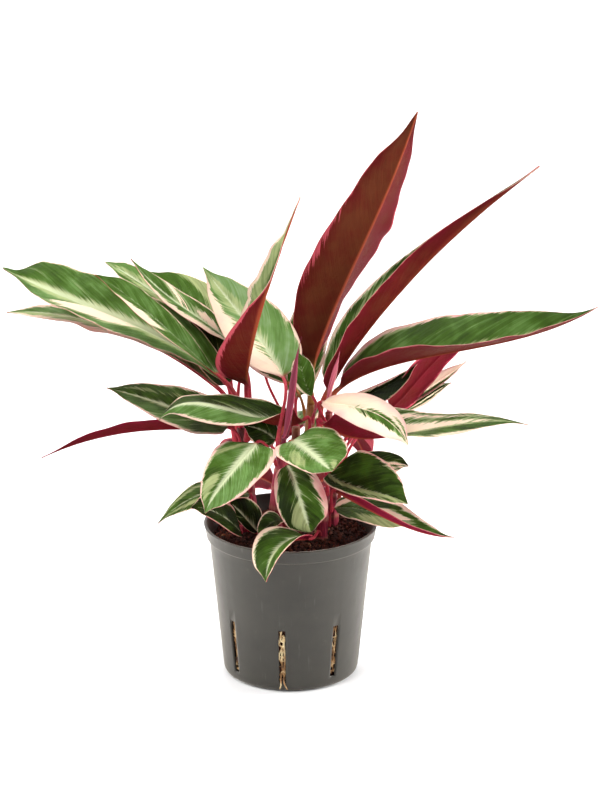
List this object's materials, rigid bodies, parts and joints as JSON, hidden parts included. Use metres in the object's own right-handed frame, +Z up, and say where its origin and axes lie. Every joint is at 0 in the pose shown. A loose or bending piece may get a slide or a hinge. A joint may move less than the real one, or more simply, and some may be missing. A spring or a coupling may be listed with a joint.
{
  "type": "potted prayer plant",
  "caption": "Prayer plant with long pointed leaves striped green, cream and pink above and crimson below, on short stems in a filled grey growing pot with a flared rim and slotted foot",
  "frame": {"origin": "centre of the pot's flat underside, on the surface that it stands on", "axes": "+Z up, +Y to the back of the plant as seen in the front view, +X to the right"},
  "size_m": [0.4371, 0.2368, 0.4295],
  "materials": {
    "pot": "satin moulded, lightly scuffed",
    "soil": "coarse dark brown granules",
    "roots": "pale and fibrous",
    "shoot": "waxy, crimson",
    "leaf": "waxy, striped green, cream and pink above and crimson below",
    "spear": "waxy, rolled young leaf"
  },
  "bodies": {
    "root": {"pot": "pot", "soil": "soil", "roots": "roots", "shoot_front": "shoot", "shoot_left": "shoot", "shoot_centre": "shoot", "shoot_right": "shoot", "shoot_low_right": "shoot", "shoot_low_left": "shoot", "shoot_left_back": "shoot", "shoot_back": "shoot", "leaf_tall_back": "leaf", "leaf_tall_right": "leaf", "leaf_right_upper": "leaf", "leaf_right_behind": "leaf", "leaf_right_pale": "leaf", "leaf_right_shaded": "leaf", "leaf_right_back": "leaf", "leaf_cream": "leaf", "leaf_right_low": "leaf", "leaf_front_round": "leaf", "leaf_front_left": "leaf", "leaf_front_lower": "leaf", "leaf_over_rim": "leaf", "leaf_by_rim": "leaf", "leaf_left_big": "leaf", "leaf_left_dark": "leaf", "leaf_left_purple": "leaf", "leaf_left_long": "leaf", "leaf_left_under": "leaf", "leaf_left_third": "leaf", "leaf_left_shade": "leaf", "leaf_left_high_1": "leaf", "leaf_left_high_2": "leaf", "leaf_left_high_3": "leaf", "leaf_curled": "leaf", "leaf_centre_light": "leaf", "leaf_centre_under": "leaf", "leaf_spear": "spear", "leaf_centre_small": "leaf", "leaf_spear_pink": "spear", "leaf_right_small": "leaf", "leaf_right_lower": "leaf", "leaf_right_lowest": "leaf", "leaf_right_grey": "leaf", "leaf_left_low_1": "leaf", "leaf_left_low_2": "leaf", "leaf_left_low_3": "leaf", "leaf_inner_shade": "leaf", "leaf_back_left": "leaf", "leaf_back_middle": "leaf", "leaf_back_right": "leaf", "leaf_back_tall": "leaf", "leaf_back_inner": "leaf", "leaf_back_low_left": "leaf", "leaf_back_low_right": "leaf"}
  },
  "joints": []
}
